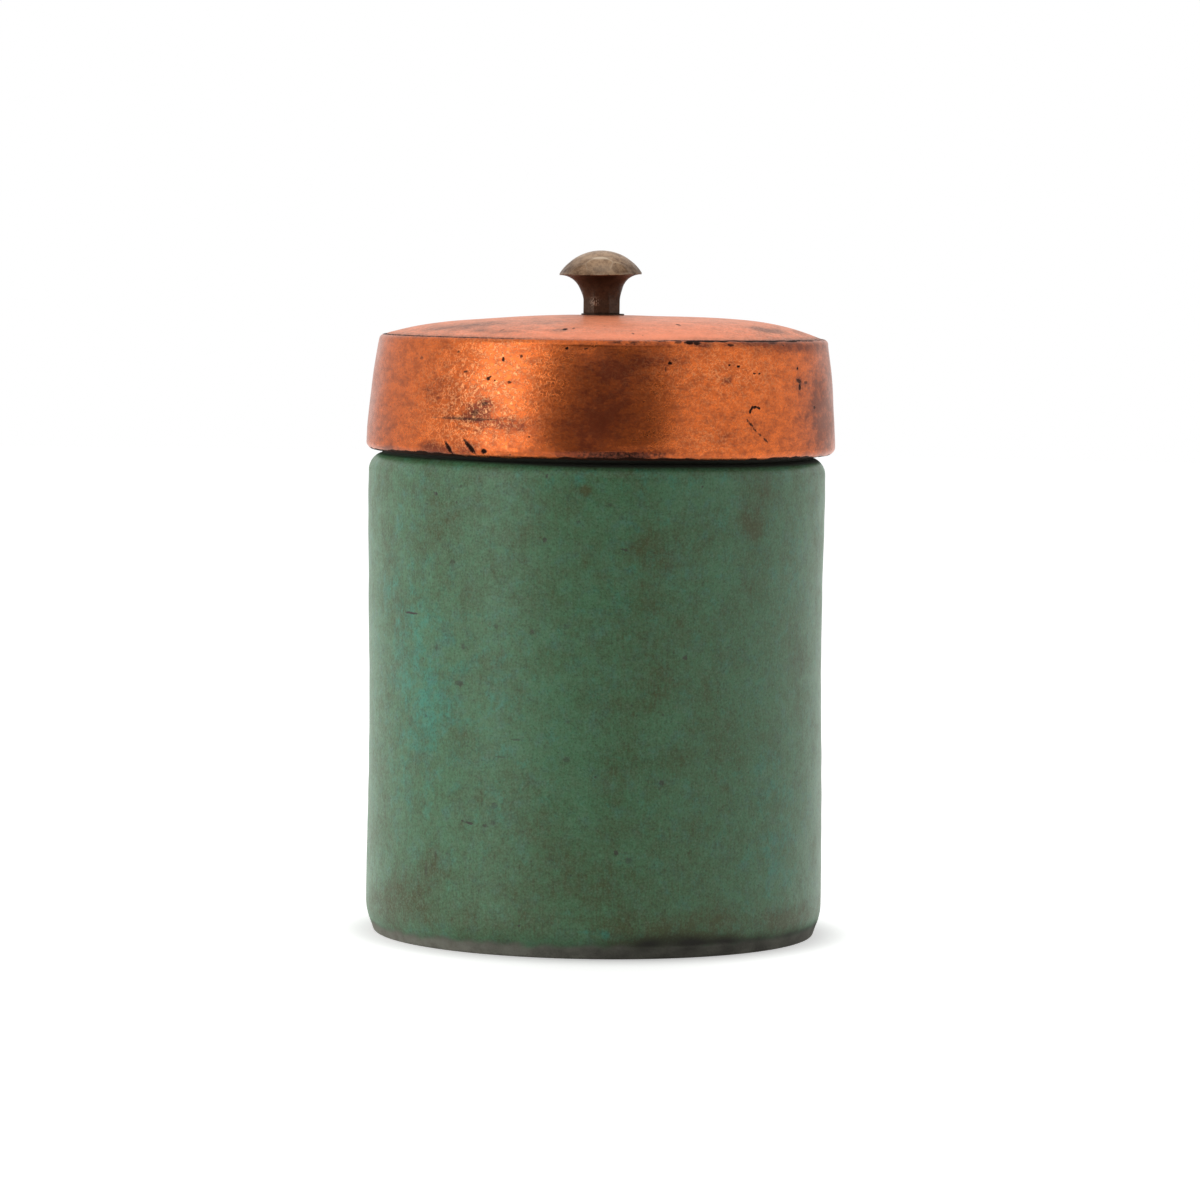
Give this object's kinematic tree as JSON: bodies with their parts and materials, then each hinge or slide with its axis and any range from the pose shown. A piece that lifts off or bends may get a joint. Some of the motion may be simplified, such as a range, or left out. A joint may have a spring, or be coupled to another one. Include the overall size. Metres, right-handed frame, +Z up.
{
  "type": "lidded storage canister",
  "caption": "Cylindrical stoneware storage jar with a rounded shoulder and a loose flared copper lid that lifts off by a mushroom-shaped bronze knob.",
  "frame": {"origin": "centre of the foot, on the surface that the canister stands on", "axes": "+Z up along the axis of the jar and the lid, -Y towards the side that the picture shows"},
  "size_m": [0.113, 0.113, 0.1639],
  "materials": {
    "glazed_stoneware": "mottled satin green glaze over stoneware, bare grey-brown clay along the foot",
    "crown_copper": "pale pinkish copper, softly rubbed, with fine grain and dark flecks",
    "skirt_copper": "orange copper with brown tarnish, hammered grain and small pits",
    "knob_bronze": "dark aged bronze with hand-filed flats, rubbed brighter on the edges",
    "fastening_brass": "dull turned brass"
  },
  "bodies": {
    "jar": {"jar_body": "glazed_stoneware"},
    "lid": {"lid_crown": "crown_copper", "lid_skirt": "skirt_copper", "knob": "knob_bronze", "knob_washer": "knob_bronze", "backing_washer": "fastening_brass", "knob_nut": "fastening_brass"}
  },
  "joints": [
    {"name": "lid_lift", "type": "slide", "parent": "jar", "child": "lid", "axis": [0, 0, 1], "range_m": [0, 0.06]}
  ]
}
